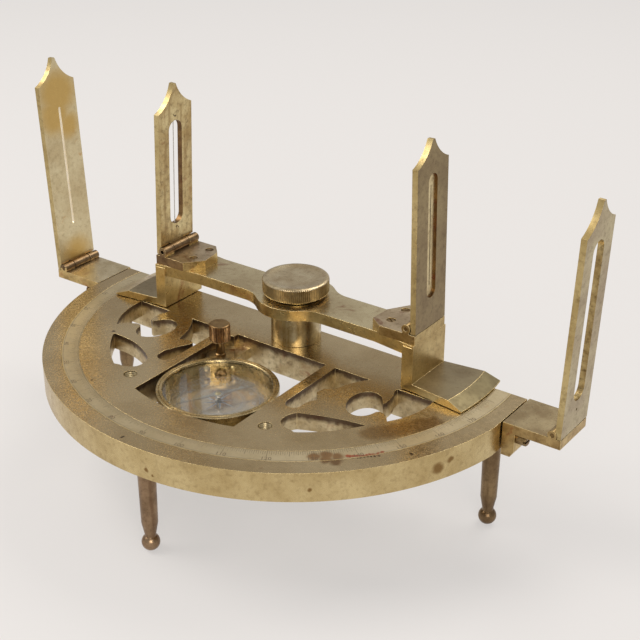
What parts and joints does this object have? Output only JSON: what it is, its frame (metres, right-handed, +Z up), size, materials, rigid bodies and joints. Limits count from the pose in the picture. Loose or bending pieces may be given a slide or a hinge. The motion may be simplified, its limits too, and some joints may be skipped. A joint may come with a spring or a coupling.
{
  "type": "graphometer",
  "caption": "Half-circle brass angle-measuring instrument with fixed and turning folding sights, a let-in compass and turned legs with ball feet.",
  "frame": {"origin": "on the pivot axis of the alidade, in the flat underside of the half-disc limb", "axes": "+X along the diameter toward the end with the windowed fixed sight, -Y from the diameter toward the arc, +Z up along the pivot axis"},
  "size_m": [0.2531, 0.116, 0.1454],
  "materials": {
    "limb_brass": "aged satin brass, brown where unpolished",
    "band_silvered": "worn silvering over brass, dull greenish grey",
    "turned_brass": "turned brass, darkened",
    "steel": "plain turned steel",
    "bracket_brass": "filed brass, satin",
    "screw_brass": "darkened brass screws",
    "pin_brass": "dark drawn brass wire",
    "leg_brass": "dark brown turned brass",
    "drum_brass": "turned brass, satin",
    "bezel_brass": "turned brass, brighter edges",
    "clear_glass": "clear, slightly grey",
    "dial_silvered": "silvered, slightly tarnished",
    "needle_steel": "bright steel",
    "copper_brass": "reddish copper-rich brass",
    "alidade_brass": "aged satin brass with a greenish bevel",
    "knob_brass": "pale tarnished brass",
    "sight_brass": "filed brass plate, tarnished faces",
    "hair_dark": "dark horsehair"
  },
  "bodies": {
    "limb": {"limb_plate": "limb_brass", "scale_band": "band_silvered", "pivot_boss": "turned_brass", "pivot_stud": "steel", "bracket_left": "bracket_brass", "bracket_right": "bracket_brass", "bracket_screws": "screw_brass", "fixed_pin_left": "pin_brass", "fixed_pin_right": "pin_brass", "leg_front": "leg_brass", "leg_left": "leg_brass", "leg_right": "leg_brass", "compass_drum": "drum_brass", "compass_bezel": "bezel_brass", "compass_glass": "clear_glass", "compass_dial": "dial_silvered", "needle_post": "steel", "compass_bracket": "bracket_brass", "compass_rivets": "screw_brass", "compass_screw": "turned_brass"},
    "thumb_screw": {"thumb_screw": "copper_brass"},
    "needle": {"needle": "needle_steel", "needle_cap": "turned_brass"},
    "alidade": {"alidade_bridge": "alidade_brass", "leaf_left": "bracket_brass", "leaf_right": "bracket_brass", "leaf_screws": "screw_brass", "alidade_pin_left": "pin_brass", "alidade_pin_right": "pin_brass"},
    "knob_washer": {"knob_washer": "drum_brass"},
    "clamp_knob": {"clamp_knob": "knob_brass"},
    "sight_fixed_left": {"sight_fixed_eye": "sight_brass"},
    "sight_fixed_right": {"sight_fixed_object": "sight_brass"},
    "sight_moving_left": {"sight_moving_object": "sight_brass", "sight_hair": "hair_dark"},
    "sight_moving_right": {"sight_moving_eye": "sight_brass"}
  },
  "joints": [
    {"name": "alidade_turn", "type": "hinge", "parent": "limb", "child": "alidade", "pos_m": [0, 0, 0.03], "axis": [0, 0, 1], "continuous": true},
    {"name": "clamp_knob_turn", "type": "hinge", "parent": "limb", "child": "knob_washer", "pos_m": [0, 0, 0.031], "axis": [0, 0, 1], "range_deg": [0, 360]},
    {"name": "clamp_knob_rise", "type": "slide", "parent": "knob_washer", "child": "clamp_knob", "axis": [0, 0, 1], "range_m": [0, 0.001]},
    {"name": "thumb_screw_turn", "type": "hinge", "parent": "limb", "child": "thumb_screw", "pos_m": [-0.01796, -0.0259, 0.02], "axis": [0, 0, 1], "range_deg": [-360, 360]},
    {"name": "needle_turn", "type": "hinge", "parent": "limb", "child": "needle", "pos_m": [0, -0.0493, 0.0068], "axis": [0, 0, 1], "continuous": true},
    {"name": "fold_fixed_left", "type": "hinge", "parent": "limb", "child": "sight_fixed_left", "pos_m": [-0.1199, 0, 0.01265], "axis": [0, 1, 0], "range_deg": [0, 38]},
    {"name": "fold_fixed_right", "type": "hinge", "parent": "limb", "child": "sight_fixed_right", "pos_m": [0.1185, 0, 0.01265], "axis": [0, 1, 0], "range_deg": [-38, 0]},
    {"name": "fold_moving_left", "type": "hinge", "parent": "alidade", "child": "sight_moving_left", "pos_m": [-0.0603, 0, 0.0361], "axis": [0, 1, 0], "range_deg": [0, 84]},
    {"name": "fold_moving_right", "type": "hinge", "parent": "alidade", "child": "sight_moving_right", "pos_m": [0.0575, 0, 0.0361], "axis": [0, 1, 0], "range_deg": [-84, 0]}
  ],
  "couplings": [
    {"joint": "clamp_knob_rise", "follows": "clamp_knob_turn", "m_per_rad": 0.00015915}
  ]
}
